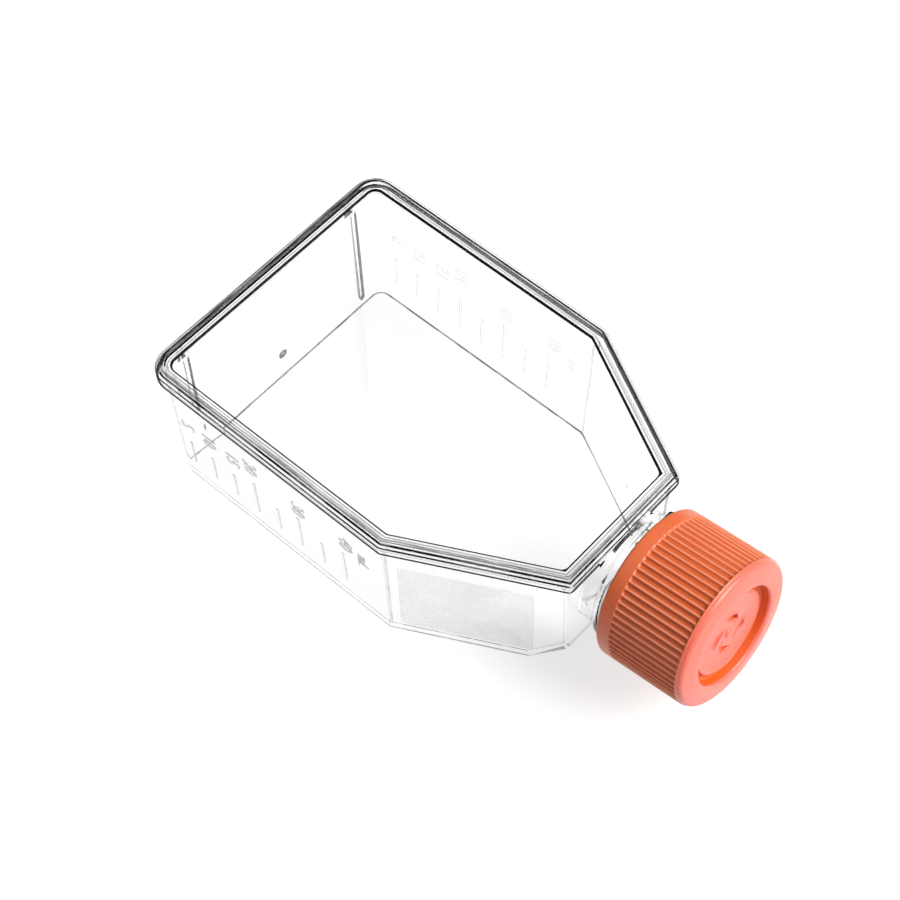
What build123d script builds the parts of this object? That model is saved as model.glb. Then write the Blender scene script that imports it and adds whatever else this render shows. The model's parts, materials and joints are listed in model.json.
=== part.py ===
from build123d import *
import math
import os

# Cell culture flask, 25 cm2 growth floor: clear tub with neck, welded top plate, vented screw cap.
# Millimetres. +Z up, +X towards the neck, origin on the table under the middle of the rim.

# Rim outline, seen from above
RIM_LENGTH = 71.2
RIM_WIDTH = 50.0
RIM_FRONT_WIDTH = 24.2
SHOULDER_LENGTH = 24.4      # front face back to where the sides turn in towards the neck
RIM_CORNER = 4.0            # rear corners
SHOULDER_CORNER = 1.2       # the four front corners

# Heights
RIM_TOP = 26.4
EDGE_THICKNESS = 1.05       # tub flange and top plate edge, one each side of the weld
WELD_GAP = 0.03

# Tub
WALL = 1.2
FLANGE_OVERHANG = 0.9       # flange beyond the wall at the top
BASE_INSET = 1.9            # rim edge to the foot of the wall
FRONT_INSET = 0.95          # rim edge to the upright front wall
BASE_ROUND = 0.5
FLOOR_ROUND = 0.15          # inside, where the floor meets the walls
FRONT_ROUND = 0.8           # upright edges of the front wall
FLANGE_ROUND = 0.3          # lower edge of the flange
SEAM_CHAMFER = 0.12         # both sides of the weld line
RAMP_LENGTH = 6.6           # front face back to where the floor rises towards the neck
RAMP_HEIGHT = 5.6
REBATE_INSET = 1.5          # seat for the pan of the top plate

# Top plate
PAN_CLEARANCE = 0.1
RING_WIDTH = 2.6            # raised frame round the recessed viewing area
RECESS_DEPTH = 0.8
BEAD_INSET = 0.75           # stacking bead on the frame
BEAD_WIDTH = 0.6
BEAD_HEIGHT = 0.6
FRAME_ROUND = 0.3           # outer and inner edges of the frame
BEAD_ROUND = 0.2

# Marks on the tub
TICK_FIRST = 6.3            # rear face to the 5 mL line
TICK_LAST = 8.79            # 40 mL line to where the sides turn in
TICK_COUNT = 8              # one line for each 5 mL
TICK_LONG = (3, 5, 7)       # 20, 30 and 40 mL
TICK_FOOT = 5.4
TICK_SHORT_LENGTH = 5.6
TICK_LONG_LENGTH = 8.0
TICK_WIDTH = 0.4
TICK_RAISE = 0.15
REAR_RIB_SPACING = 36.6
REAR_RIB_WIDTH = 1.0
REAR_RIB_FOOT = 1.6
GATE_HEIGHT = 5.5
GATE_RADIUS = 0.7

# Neck, measured along its own axis from the front face of the rim
NECK_HEIGHT = 17.0
NECK_PITCH = 7.5            # degrees the neck looks up
NECK_RADIUS = 9.2
NECK_WALL = 1.6
NECK_LENGTH = 16.6
NECK_ROOT = 2.6             # the neck starts this far inside the front face of the rim
COLLAR_START = 2.6
COLLAR_LENGTH = 0.9
COLLAR_HEIGHT = 1.2
LIP_CHAMFER = 0.4
SEAL_STEP = 0.25            # the sealing land is this much wider than the bore
SEAL_LENGTH = 2.1

# Screw thread, right-handed, shared by neck and cap
LEAD = 3.6
THREAD_HEIGHT = 0.85
THREAD_CLEARANCE = 0.3
THREAD_BASE = 1.5
THREAD_TIP = 0.7
THREAD_ROOT = 0.3           # depth of the ridge inside the wall that carries it
THREAD_START = 6.6
NECK_TURNS = 1.75
CAP_TURNS = 1.25

# Cap
CAP_START = 4.6
CAP_WALL = 1.75
CAP_BAND = 2.3              # plain band at the open end
SKIRT_ROUND = 0.3
LIP_GAP = 0.8               # lip of the neck to the flat inside end of the cap
CAP_TOP = 2.6               # inside end to outside end
SHOULDER_DEPTH = 2.2        # ribs stop this far short of the outside end
SHOULDER_TAPER = 0.2
END_DISHING = 0.35          # the outside end falls this much from the recess to the shoulder
END_FLAT = 2.6
SHOULDER_ROUND = 1.1
RIB_COUNT = 68
RIB_HEIGHT = 0.38
RIB_BASE = 0.6
RIB_TIP = 0.26
RECESS_RADIUS = 8.1
CAP_RECESS_DEPTH = 1.55
DISC_RADIUS = 7.0
RECESS_DRAFT = 0.25
DISC_RISE = 0.35
BOSS_RADIUS = 0.8           # moulding boss in the middle of the disc
BOSS_HEIGHT = 0.3
VENT_RADIUS = 2.9
VENT_WIDTH = 0.85
VENT_ARC = 42
VENT_ANGLE = 65
MEMBRANE_MARGIN = 0.9       # the vent membrane is this much smaller than the bore
MEMBRANE_THICKNESS = 0.3

REAR = -RIM_LENGTH / 2
FRONT = RIM_LENGTH / 2
SHOULDER_START = RIM_LENGTH - SHOULDER_LENGTH
RAMP_START = RIM_LENGTH - RAMP_LENGTH
TICK_PITCH = (SHOULDER_START - TICK_LAST - TICK_FIRST) / (TICK_COUNT - 1)
SEAM = RIM_TOP - EDGE_THICKNESS
FLANGE_UNDER = SEAM - EDGE_THICKNESS
DRAFT = math.degrees(math.atan((BASE_INSET - FLANGE_OVERHANG) / FLANGE_UNDER))
SHOULDER_SLOPE = (RIM_WIDTH - RIM_FRONT_WIDTH) / 2 / (RIM_LENGTH - SHOULDER_START)
FRONT_WALL = FRONT - FRONT_INSET
RAMP_SLOPE = RAMP_HEIGHT / (FRONT_WALL - (REAR + RAMP_START))
BORE_RADIUS = NECK_RADIUS - NECK_WALL
MOUTH_RADIUS = BORE_RADIUS + SEAL_STEP
COLLAR_RADIUS = NECK_RADIUS + COLLAR_HEIGHT
CAP_BORE = NECK_RADIUS + THREAD_HEIGHT + THREAD_CLEARANCE
CAP_RADIUS = CAP_BORE + CAP_WALL
INSIDE_END = NECK_LENGTH + LIP_GAP
CAP_END = INSIDE_END + CAP_TOP
RIB_END = CAP_END - SHOULDER_DEPTH
RECESS_FLOOR = CAP_END - CAP_RECESS_DEPTH
DISC_FACE = RECESS_FLOOR + DISC_RISE
MEMBRANE_RADIUS = BORE_RADIUS - MEMBRANE_MARGIN

NECK_TILT = math.radians(NECK_PITCH)
NECK_AXIS = (math.cos(NECK_TILT), 0, math.sin(NECK_TILT))
NECK = Plane(origin=(FRONT, 0, NECK_HEIGHT), x_dir=(0, 1, 0), z_dir=NECK_AXIS)


def outline(inset, corner, front=FRONT):
    """Flask plan moved in evenly by inset, cut square at x = front, rear corners rounded."""
    angle = math.atan(SHOULDER_SLOPE)
    side = RIM_WIDTH / 2 - inset
    turn = REAR + SHOULDER_START - inset * math.tan(angle / 2)
    tip = side - (front - turn) * SHOULDER_SLOPE
    with BuildSketch() as plan:
        with BuildLine():
            Polyline((REAR + inset, side), (turn, side), (front, tip),
                     (front, -tip), (turn, -side), (REAR + inset, -side), close=True)
        make_face()
        fillet(plan.vertices().group_by(Axis.X)[0], corner)
        fillet(plan.vertices().filter_by(lambda v: v.X > REAR + SHOULDER_START / 2), SHOULDER_CORNER)
    return plan.sketch


def ramp_wedge(rise):
    """Everything under the ramped part of the floor, the ramp lifted by rise."""
    foot = REAR + RAMP_START
    with BuildPart() as wedge:
        with BuildSketch(Plane.XZ):
            with BuildLine():
                Polyline((foot - 8, rise - 8 * RAMP_SLOPE), (foot + 10, rise + 10 * RAMP_SLOPE),
                         (foot + 10, -12), (foot - 8, -12), close=True)
            make_face()
        extrude(amount=RIM_WIDTH, both=True)
    return wedge.part


def wall_plane(side):
    """Outer face of a long wall: local X along the flask, local Y up the wall, Z outwards."""
    lean = math.radians(DRAFT)
    return Plane(origin=(REAR, side * (RIM_WIDTH / 2 - BASE_INSET), 0), x_dir=(-side, 0, 0),
                 z_dir=(0, side * math.cos(lean), -math.sin(lean)))


def thread_ridge(root, height, start, turns):
    """Helical ridge about Z standing height proud of radius root (negative: inwards)."""
    foot = math.copysign(THREAD_ROOT, -height)
    with BuildPart() as ridge:
        with BuildLine() as path:
            Helix(pitch=LEAD, height=LEAD * turns, radius=root, center=(0, 0, start))
        with BuildSketch(Plane(origin=path.line @ 0, x_dir=(1, 0, 0), z_dir=path.line % 0)):
            with BuildLine():
                Polyline((foot, -THREAD_BASE / 2), (0, -THREAD_BASE / 2), (height, -THREAD_TIP / 2),
                         (height, THREAD_TIP / 2), (0, THREAD_BASE / 2), (foot, THREAD_BASE / 2), close=True)
            make_face()
        sweep(path=path.line, is_frenet=True)
    return ridge.part


# ---- inside of the tub --------------------------------------------------------------------------
with BuildPart() as chamber:
    with BuildSketch(Plane.XY.offset(WALL)):
        add(outline(BASE_INSET + WALL - WALL * math.tan(math.radians(DRAFT)), RIM_CORNER - 2, FRONT))
    extrude(amount=RIM_TOP - WALL, taper=-DRAFT)
    with Locations((FRONT_WALL - WALL + 10, 0, RIM_TOP / 2)):
        Box(20, RIM_WIDTH, 2 * RIM_TOP, mode=Mode.SUBTRACT)
    add(ramp_wedge(WALL / math.cos(math.atan(RAMP_SLOPE))), mode=Mode.SUBTRACT)
    fillet(chamber.faces().sort_by(Axis.Z)[0].edges().sort_by(Axis.X)[:-1], FLOOR_ROUND)

# ---- neck, built about Z and then stood on its own axis -----------------------------------------
with BuildPart() as neck_blank:
    with BuildSketch(Plane.XZ) as neck_profile:
        with BuildLine():
            collar_end = COLLAR_START + COLLAR_LENGTH
            Polyline((0, -NECK_ROOT), (NECK_RADIUS, -NECK_ROOT), (NECK_RADIUS, COLLAR_START),
                     (COLLAR_RADIUS, COLLAR_START), (COLLAR_RADIUS, collar_end), (NECK_RADIUS, collar_end),
                     (NECK_RADIUS, NECK_LENGTH), (0, NECK_LENGTH), close=True)
        make_face()
        fillet(neck_profile.vertices().group_by(Axis.X)[-1], COLLAR_LENGTH / 3)
        chamfer(neck_profile.vertices().group_by(Axis.Y)[-1].sort_by(Axis.X)[-1], LIP_CHAMFER)
    revolve(axis=Axis.Z)
    add(thread_ridge(NECK_RADIUS, THREAD_HEIGHT, THREAD_START, NECK_TURNS))

# ---- tub ----------------------------------------------------------------------------------------
with BuildPart() as flask_body:
    with BuildSketch():
        add(outline(BASE_INSET, RIM_CORNER - 1, FRONT + 1))
    extrude(amount=FLANGE_UNDER, taper=-DRAFT)
    with Locations((FRONT_WALL + 10, 0, RIM_TOP / 2)):
        Box(20, RIM_WIDTH, 2 * RIM_TOP, mode=Mode.SUBTRACT)
    add(ramp_wedge(0), mode=Mode.SUBTRACT)
    fillet(flask_body.faces().sort_by(Axis.Z)[0].edges().sort_by(Axis.X)[:-1], BASE_ROUND)
    upright = flask_body.edges().filter_by(lambda e: e.length > RAMP_HEIGHT and e.bounding_box().size.X < 0.01)
    fillet(upright.filter_by(lambda e: e.bounding_box().size.Y < WALL), FRONT_ROUND)
    with BuildSketch(Plane.XY.offset(FLANGE_UNDER)):
        add(outline(0, RIM_CORNER))
    extrude(amount=EDGE_THICKNESS)
    chamfer(flask_body.edges().group_by(Axis.Z)[-1], SEAM_CHAMFER)
    underside = flask_body.faces().filter_by(Axis.Z).filter_by(lambda f: abs(f.center().Z - FLANGE_UNDER) < 0.01)
    fillet(underside.face().outer_wire().edges(), FLANGE_ROUND)

    # standing ribs and gate mark on the rear wall
    with BuildSketch(Plane.YZ.offset(REAR + 0.1)):
        with GridLocations(REAR_RIB_SPACING, 0, 2, 1):
            with Locations((0, (REAR_RIB_FOOT + FLANGE_UNDER + 0.5) / 2)):
                SlotOverall(FLANGE_UNDER + 0.5 - REAR_RIB_FOOT, REAR_RIB_WIDTH, rotation=90)
    extrude(amount=BASE_INSET)
    with BuildSketch(Plane.YZ.offset(REAR + BASE_INSET - 0.6)):
        with Locations((0, GATE_HEIGHT)):
            Circle(GATE_RADIUS)
    extrude(amount=1)

    # volume lines on both long walls
    for side in (-1, 1):
        with BuildSketch(wall_plane(side)):
            for number in range(TICK_COUNT):
                length = TICK_LONG_LENGTH if number in TICK_LONG else TICK_SHORT_LENGTH
                along = -side * (TICK_FIRST + number * TICK_PITCH)
                with Locations((along, TICK_FOOT + length / 2)):
                    Rectangle(TICK_WIDTH, length)
        extrude(amount=TICK_RAISE)

    with Locations(NECK.location):
        add(neck_blank.part)
    # keep the root of the neck under the edge of the top plate
    with Locations((FRONT - 4.9, 0, SEAM + 5)):
        Box(10, RIM_WIDTH, 10, mode=Mode.SUBTRACT)
    with BuildSketch(Plane.XY.offset(FLANGE_UNDER)):
        add(outline(REBATE_INSET, RIM_CORNER - REBATE_INSET, FRONT - REBATE_INSET))
    extrude(amount=EDGE_THICKNESS, mode=Mode.SUBTRACT)
    add(chamber.part, mode=Mode.SUBTRACT)
    with BuildSketch(NECK.offset(-5)):
        Circle(BORE_RADIUS)
    extrude(amount=NECK_LENGTH + 6, mode=Mode.SUBTRACT)
    with BuildSketch(NECK.offset(NECK_LENGTH - SEAL_LENGTH)):
        Circle(MOUTH_RADIUS)
    extrude(amount=SEAL_LENGTH + 1, mode=Mode.SUBTRACT)

# ---- welded top plate ---------------------------------------------------------------------------
with BuildPart() as top_plate:
    pan_inset = REBATE_INSET + PAN_CLEARANCE
    with BuildSketch(Plane.XY.offset(FLANGE_UNDER + PAN_CLEARANCE)):
        add(outline(pan_inset, RIM_CORNER - pan_inset, FRONT - pan_inset))
    extrude(amount=RIM_TOP - RECESS_DEPTH - FLANGE_UNDER - PAN_CLEARANCE)
    with BuildSketch(Plane.XY.offset(SEAM + WELD_GAP)):
        add(outline(0, RIM_CORNER))
        add(outline(RING_WIDTH, RIM_CORNER - RING_WIDTH, FRONT - RING_WIDTH), mode=Mode.SUBTRACT)
    extrude(amount=EDGE_THICKNESS - WELD_GAP)
    underside = top_plate.faces().filter_by(Axis.Z).group_by(Axis.Z)[1]
    chamfer(underside.face().outer_wire().edges(), SEAM_CHAMFER)
    fillet(top_plate.edges().group_by(Axis.Z)[-1], FRAME_ROUND)
    with BuildSketch(Plane.XY.offset(RIM_TOP)):
        inner = BEAD_INSET + BEAD_WIDTH
        add(outline(BEAD_INSET, RIM_CORNER - BEAD_INSET, FRONT - BEAD_INSET))
        add(outline(inner, RIM_CORNER - inner, FRONT - inner), mode=Mode.SUBTRACT)
    extrude(amount=BEAD_HEIGHT)
    fillet(top_plate.faces().sort_by(Axis.Z)[-1].edges(), BEAD_ROUND)

# ---- cap, built about Z and then stood on the neck axis -----------------------------------------
with BuildPart() as cap_blank:
    with BuildSketch(Plane.XZ) as cap_profile:
        rib_root = CAP_RADIUS - RIB_HEIGHT
        with BuildLine():
            Polyline((CAP_BORE, CAP_START), (CAP_RADIUS, CAP_START), (CAP_RADIUS, CAP_START + CAP_BAND),
                     (rib_root, CAP_START + CAP_BAND), (rib_root, RIB_END), (CAP_RADIUS - 0.1, RIB_END),
                     (CAP_RADIUS - SHOULDER_TAPER, CAP_END - END_DISHING),
                     (RECESS_RADIUS + END_FLAT, CAP_END), (RECESS_RADIUS, CAP_END),
                     (RECESS_RADIUS - RECESS_DRAFT, RECESS_FLOOR), (DISC_RADIUS, RECESS_FLOOR),
                     (DISC_RADIUS, DISC_FACE), (BOSS_RADIUS, DISC_FACE),
                     (BOSS_RADIUS, DISC_FACE + BOSS_HEIGHT), (0, DISC_FACE + BOSS_HEIGHT),
                     (0, INSIDE_END), (CAP_BORE, INSIDE_END), close=True)
        make_face()
        end_corners = cap_profile.vertices().filter_by(lambda v: v.Y > RIB_END + 0.1)
        fillet(end_corners.filter_by(lambda v: v.X > CAP_RADIUS - SHOULDER_TAPER - 0.1), SHOULDER_ROUND)
        fillet(cap_profile.vertices().group_by(Axis.Y)[0], SKIRT_ROUND)
    revolve(axis=Axis.Z)
    with BuildSketch(Plane.XY.offset(CAP_START + CAP_BAND)) as ribs:
        with PolarLocations(0, RIB_COUNT):
            Polygon((rib_root - RIB_HEIGHT, -RIB_BASE / 2), (rib_root, -RIB_BASE / 2),
                    (CAP_RADIUS, -RIB_TIP / 2), (CAP_RADIUS, RIB_TIP / 2),
                    (rib_root, RIB_BASE / 2), (rib_root - RIB_HEIGHT, RIB_BASE / 2), align=None)
    extrude(amount=RIB_END - CAP_START - CAP_BAND)
    with BuildSketch(Plane.XY.offset(INSIDE_END - 1)):
        for quarter in range(4):
            with BuildLine(mode=Mode.PRIVATE) as vent_arc:
                CenterArc((0, 0), VENT_RADIUS, VENT_ANGLE - VENT_ARC / 2 + 90 * quarter, VENT_ARC)
            SlotArc(vent_arc.edges()[0], VENT_WIDTH)
    extrude(amount=4, mode=Mode.SUBTRACT)
    add(thread_ridge(CAP_BORE, -THREAD_HEIGHT, THREAD_START + LEAD / 2, CAP_TURNS))

with BuildPart() as cap:
    with Locations(NECK.location):
        add(cap_blank.part)

with BuildPart() as vent_membrane:
    with BuildSketch(NECK.offset(INSIDE_END - MEMBRANE_THICKNESS)):
        Circle(MEMBRANE_RADIUS)
    extrude(amount=MEMBRANE_THICKNESS)

os.makedirs("parts", exist_ok=True)
flask_body.part.label = "flask_body"
export_step(flask_body.part, "parts/flask_body.step")
top_plate.part.label = "top_plate"
export_step(top_plate.part, "parts/top_plate.step")
cap.part.label = "cap"
export_step(cap.part, "parts/cap.step")
vent_membrane.part.label = "vent_membrane"
export_step(vent_membrane.part, "parts/vent_membrane.step")
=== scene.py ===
"""Looks of a cell culture flask: a clear moulded tub and top plate, an orange vented screw cap.

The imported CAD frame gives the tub, the plate and the membrane, and this script dresses them.
Sizes are in millimetres unless a docstring says otherwise, and every finished piece is in metres.
"""

import json
import logging
import math
from dataclasses import dataclass
from enum import Enum
from typing import Any

import bmesh
import bpy
import numpy as np
from mathutils import Matrix, Vector


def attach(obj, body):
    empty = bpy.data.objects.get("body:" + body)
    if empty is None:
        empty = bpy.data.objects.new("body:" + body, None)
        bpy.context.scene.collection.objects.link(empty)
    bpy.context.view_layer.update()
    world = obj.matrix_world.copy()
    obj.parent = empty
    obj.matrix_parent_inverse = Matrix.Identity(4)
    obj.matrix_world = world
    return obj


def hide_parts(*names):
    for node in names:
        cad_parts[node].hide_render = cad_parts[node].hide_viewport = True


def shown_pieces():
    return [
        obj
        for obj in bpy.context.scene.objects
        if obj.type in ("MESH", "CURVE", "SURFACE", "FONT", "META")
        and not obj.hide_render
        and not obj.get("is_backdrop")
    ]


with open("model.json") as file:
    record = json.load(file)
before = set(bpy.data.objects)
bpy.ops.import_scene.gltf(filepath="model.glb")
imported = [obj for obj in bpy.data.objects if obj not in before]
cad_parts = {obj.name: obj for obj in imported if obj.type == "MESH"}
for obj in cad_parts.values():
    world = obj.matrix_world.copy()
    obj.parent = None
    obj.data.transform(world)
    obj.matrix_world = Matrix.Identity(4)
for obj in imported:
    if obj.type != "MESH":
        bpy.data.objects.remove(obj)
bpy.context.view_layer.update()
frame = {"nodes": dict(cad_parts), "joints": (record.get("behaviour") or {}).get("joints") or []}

MM = 0.001
# A Mix node's two inputs and its output, by number, for each kind of value.
MIX_PLACES = {"RGBA": (6, 7, 2), "VECTOR": (4, 5, 1)}
LOG = logging.getLogger("flask")

Colour = tuple[float, float, float, float]
Place = tuple[float, float]
Socket = bpy.types.NodeSocket


# ---------------------------------------------------------------- node trees


class NodeSheet:
    """A small builder for one node tree."""

    def __init__(self, tree: bpy.types.NodeTree) -> None:
        """Starts on an empty tree.

        Args:
            tree: The tree to fill, whose nodes are cleared.
        """
        self.tree = tree
        tree.nodes.clear()

    def add(self, kind: str, settings: dict[str, Any] | None = None, **inputs: Any) -> bpy.types.Node:
        """Adds a node.

        Args:
            kind: The node's type, without its ShaderNode prefix.
            settings: Properties of the node itself.
            inputs: Input values or sockets, where an underscore stands for a space.

        Returns:
            The new node.
        """
        node = self.tree.nodes.new("ShaderNode" + kind)
        for name, value in (settings or {}).items():
            setattr(node, name, value)
        for name, value in inputs.items():
            self.feed(node.inputs[name.replace("_", " ")], value)
        return node

    def feed(self, socket: Socket, value: Any) -> None:
        """Links a socket to another, or writes a plain value to it.

        Args:
            socket: The input to fill.
            value: Another node's output, or a plain value.
        """
        if isinstance(value, bpy.types.NodeSocket):
            self.tree.links.new(value, socket)
        else:
            socket.default_value = value

    def math(self, operation: str, first: Any, second: Any = 0.0, clamp: bool = False) -> Socket:
        """Adds a Math node.

        Args:
            operation: The operation's name.
            first: The first value or socket.
            second: The second value or socket.
            clamp: Whether the result is held between 0 and 1.

        Returns:
            The node's output.
        """
        node = self.add("Math", {"operation": operation, "use_clamp": clamp})
        self.feed(node.inputs[0], first)
        self.feed(node.inputs[1], second)
        return node.outputs[0]

    def chain(self, operation: str, values: list[Any]) -> Socket:
        """Joins several values by one operation, from the first to the last.

        Args:
            operation: The operation's name.
            values: Two or more values or sockets.

        Returns:
            The last node's output.
        """
        total = values[0]
        for value in values[1:]:
            total = self.math(operation, total, value)
        return total

    def scaled(self, value: Any, factor: float, offset: Any) -> Socket:
        """Gives value times factor plus offset."""
        return self.math("ADD", self.math("MULTIPLY", value, factor), offset)

    def rest(self, value: Any) -> Socket:
        """Gives 1 less value."""
        return self.math("SUBTRACT", 1.0, value)

    def hypotenuse(self, first: Any, second: Any) -> Socket:
        """Gives the square root of the sum of two squares."""
        squares = [self.math("POWER", value, 2.0) for value in (first, second)]
        return self.math("SQRT", self.chain("ADD", squares))

    def ease(self, value: Any, low: Any, high: Any, smooth: bool = True) -> Socket:
        """Adds a rise from 0 at low to 1 at high, held flat beyond them.

        Args:
            value: The value that is followed.
            low: Where the rise starts.
            high: Where it ends.
            smooth: Whether the rise is soft at both ends, or straight.

        Returns:
            The rise.
        """
        settings = {"interpolation_type": "SMOOTHSTEP" if smooth else "LINEAR"}
        return self.add("MapRange", settings, Value=value, From_Min=low, From_Max=high).outputs["Result"]

    def vector(self, operation: str, *values: Any) -> bpy.types.Node:
        """Adds a Vector Math node.

        Args:
            operation: The operation's name.
            values: Its vectors or sockets, in order.

        Returns:
            The node.
        """
        node = self.add("VectorMath", {"operation": operation})
        for socket, value in zip(node.inputs, values):
            self.feed(socket, value)
        return node

    def blend(self, share: Any, first: Any, second: Any, kind: str = "RGBA") -> Socket:
        """Mixes two colours, or two vectors.

        Args:
            share: How much of the second one, from 0 to 1.
            first: The first one.
            second: The second one.
            kind: RGBA for colours, VECTOR for vectors.

        Returns:
            The mixed one.
        """
        node = self.add("Mix", {"data_type": kind})
        low, high, mixed = MIX_PLACES[kind]
        for place, value in ((0, share), (low, first), (high, second)):
            self.feed(node.inputs[place], value)
        return node.outputs[mixed]

    def layered(self, share: Any, first: bpy.types.Node, second: bpy.types.Node) -> bpy.types.Node:
        """Mixes two shaders.

        Args:
            share: How much of the second shader, from 0 to 1.
            first: The first shader's node.
            second: The second shader's node.

        Returns:
            The mixing node.
        """
        node = self.add("MixShader", Fac=share)
        self.feed(node.inputs[1], first.outputs[0])
        self.feed(node.inputs[2], second.outputs[0])
        return node


def grey(level: float) -> Colour:
    """An opaque grey of one level."""
    return (level, level, level, 1.0)


def blank_material(name: str) -> tuple[bpy.types.Material, NodeSheet]:
    """Makes a material whose node tree is empty.

    Args:
        name: The material's name.

    Returns:
        The material and its sheet.
    """
    made = bpy.data.materials.new(name)
    made.use_nodes = True
    return made, NodeSheet(made.node_tree)


# ---------------------------------------------------------------- the frame's own sizes


@dataclass(frozen=True)
class TubPlan:
    """The tub's plan and walls, as the CAD frame has them.

    Args:
        half_length: Half the rim's length, along X.
        half_width: Half the rim's width, along Y.
        shoulder_start: X at which the sides turn in towards the neck.
        front_half_width: Half the width of the front.
        rear_corner: Radius of the rear corners.
        foot_inset: Rim's edge to the foot of the wall.
        head_inset: Rim's edge to the head of the wall.
        head: Height of the wall's head, under the flange.
        rib_place: Middle of the rear wall to the middle line of a standing rib.
        rib_foot: Height of the middle of the rib's round foot.
        rib_depth: How far in from the rim's rear edge a rib shows.
        gate_height: Height of the gate mark on the rear wall.
        gate_depth: How far in from the rim's rear edge the gate mark shows.
    """

    half_length: float = 35.6
    half_width: float = 25.0
    shoulder_start: float = 11.2
    front_half_width: float = 12.1
    rear_corner: float = 4.0
    foot_inset: float = 1.9
    head_inset: float = 0.9
    head: float = 24.3
    rib_place: float = 18.3
    rib_foot: float = 2.1
    rib_depth: float = 1.5
    gate_height: float = 5.5
    gate_depth: float = 2.0

    @property
    def shoulder_out(self) -> Place:
        """The way straight out of the +Y shoulder, as parts along X and Y of a length of 1."""
        run, fall = self.half_length - self.shoulder_start, self.half_width - self.front_half_width
        return fall / math.hypot(run, fall), run / math.hypot(run, fall)

    @property
    def lean(self) -> float:
        """How far a wall leans out for each millimetre of height."""
        return (self.foot_inset - self.head_inset) / self.head


PLAN = TubPlan()


@dataclass(frozen=True)
class NeckAxes:
    """The neck's own axes: x sideways, y up across the neck, z outwards.

    Args:
        origin: Where the neck's axis meets the front face of the rim, in metres.
        axis: Direction out of the neck.
    """

    origin: tuple[float, float, float]
    axis: tuple[float, float, float]

    def place(self, sideways: np.ndarray, upwards: np.ndarray, along: np.ndarray) -> np.ndarray:
        """Turns places by the neck into metres: origin + x side + y (axis cross side) + z axis.

        Args:
            sideways: The places' x.
            upwards: Their y.
            along: Their z.

        Returns:
            The points, with one more axis of length 3.
        """
        side = np.array([0.0, 1.0, 0.0])
        out = np.array(self.axis)
        rise = np.cross(out, side)
        local = sideways[..., None] * side + upwards[..., None] * rise + along[..., None] * out
        return np.array(self.origin) + local * MM


# ---------------------------------------------------------------- studio


@dataclass(frozen=True)
class Viewpoint:
    """The camera's place, given by its direction and framing.

    Args:
        azimuth: Degrees round the object from a look along +Y.
        elevation: Degrees above the table.
        roll: Degrees the picture is turned.
        focal_share: Focal length over the picture's width.
        distance: Distance along the view from the frame's point, in framing units.
        shift_right: Sideways place of that point in the picture, in framing units.
        shift_up: Upward place of that point in the picture, in framing units.
        unit: Size of a framing unit in metres.
        anchor: X of the frame's point, in metres.
    """

    azimuth: float = 42.273
    elevation: float = 56.886
    roll: float = -0.848
    focal_share: float = 2.519
    distance: float = 7.3017
    shift_right: float = -0.5650
    shift_up: float = 0.2712
    unit: float = 0.05
    anchor: float = -0.0356

    def place(self) -> bpy.types.Object:
        """Makes the camera and sets it as the scene's.

        Returns:
            The camera object.
        """
        turn, lift, lean = (math.radians(v) for v in (self.azimuth, self.elevation, self.roll))
        back = Vector((math.sin(turn) * math.cos(lift), -math.cos(turn) * math.cos(lift), math.sin(lift)))
        level = Vector((math.cos(turn), math.sin(turn), 0.0))
        upright = back.cross(level)
        right = math.cos(lean) * level + math.sin(lean) * upright
        up = -math.sin(lean) * level + math.cos(lean) * upright
        centre = (-self.shift_right * right - self.shift_up * up + self.distance * back) * self.unit
        centre.x += self.anchor
        data = bpy.data.cameras.new("camera")
        data.sensor_width = 36.0
        data.lens = self.focal_share * data.sensor_width
        data.clip_start, data.clip_end = 0.01, 20.0
        camera = bpy.data.objects.new("camera", data)
        turned = Matrix((right, up, back)).transposed().to_4x4()
        camera.matrix_world = Matrix.Translation(centre) @ turned
        bpy.context.scene.collection.objects.link(camera)
        bpy.context.scene.camera = camera
        return camera


@dataclass(frozen=True)
class SoftLamp:
    """A rectangular lamp that points at a spot on the object, in metres and degrees.

    Args:
        name: The lamp's name.
        azimuth: Direction round the object, from a look along +Y.
        elevation: Direction above the table.
        distance: Distance from the spot.
        width: Breadth of the lamp.
        height: Height of the lamp.
        watts: Power of the lamp.
        aim: The spot.
    """

    name: str
    azimuth: float
    elevation: float
    distance: float
    width: float
    height: float
    watts: float
    aim: tuple[float, float, float] = (0.0, 0.0, 0.01)

    def place(self) -> None:
        """Makes the lamp in the scene."""
        turn, lift = math.radians(self.azimuth), math.radians(self.elevation)
        away = Vector((math.sin(turn) * math.cos(lift), -math.cos(turn) * math.cos(lift), math.sin(lift)))
        data = bpy.data.lights.new(self.name, "AREA")
        data.shape = "RECTANGLE"
        data.size, data.size_y = self.width, self.height
        data.energy = self.watts
        lamp = bpy.data.objects.new(self.name, data)
        turned = away.to_track_quat("Z", "Y").to_matrix().to_4x4()
        lamp.matrix_world = Matrix.Translation(Vector(self.aim) + away * self.distance) @ turned
        bpy.context.scene.collection.objects.link(lamp)


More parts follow.
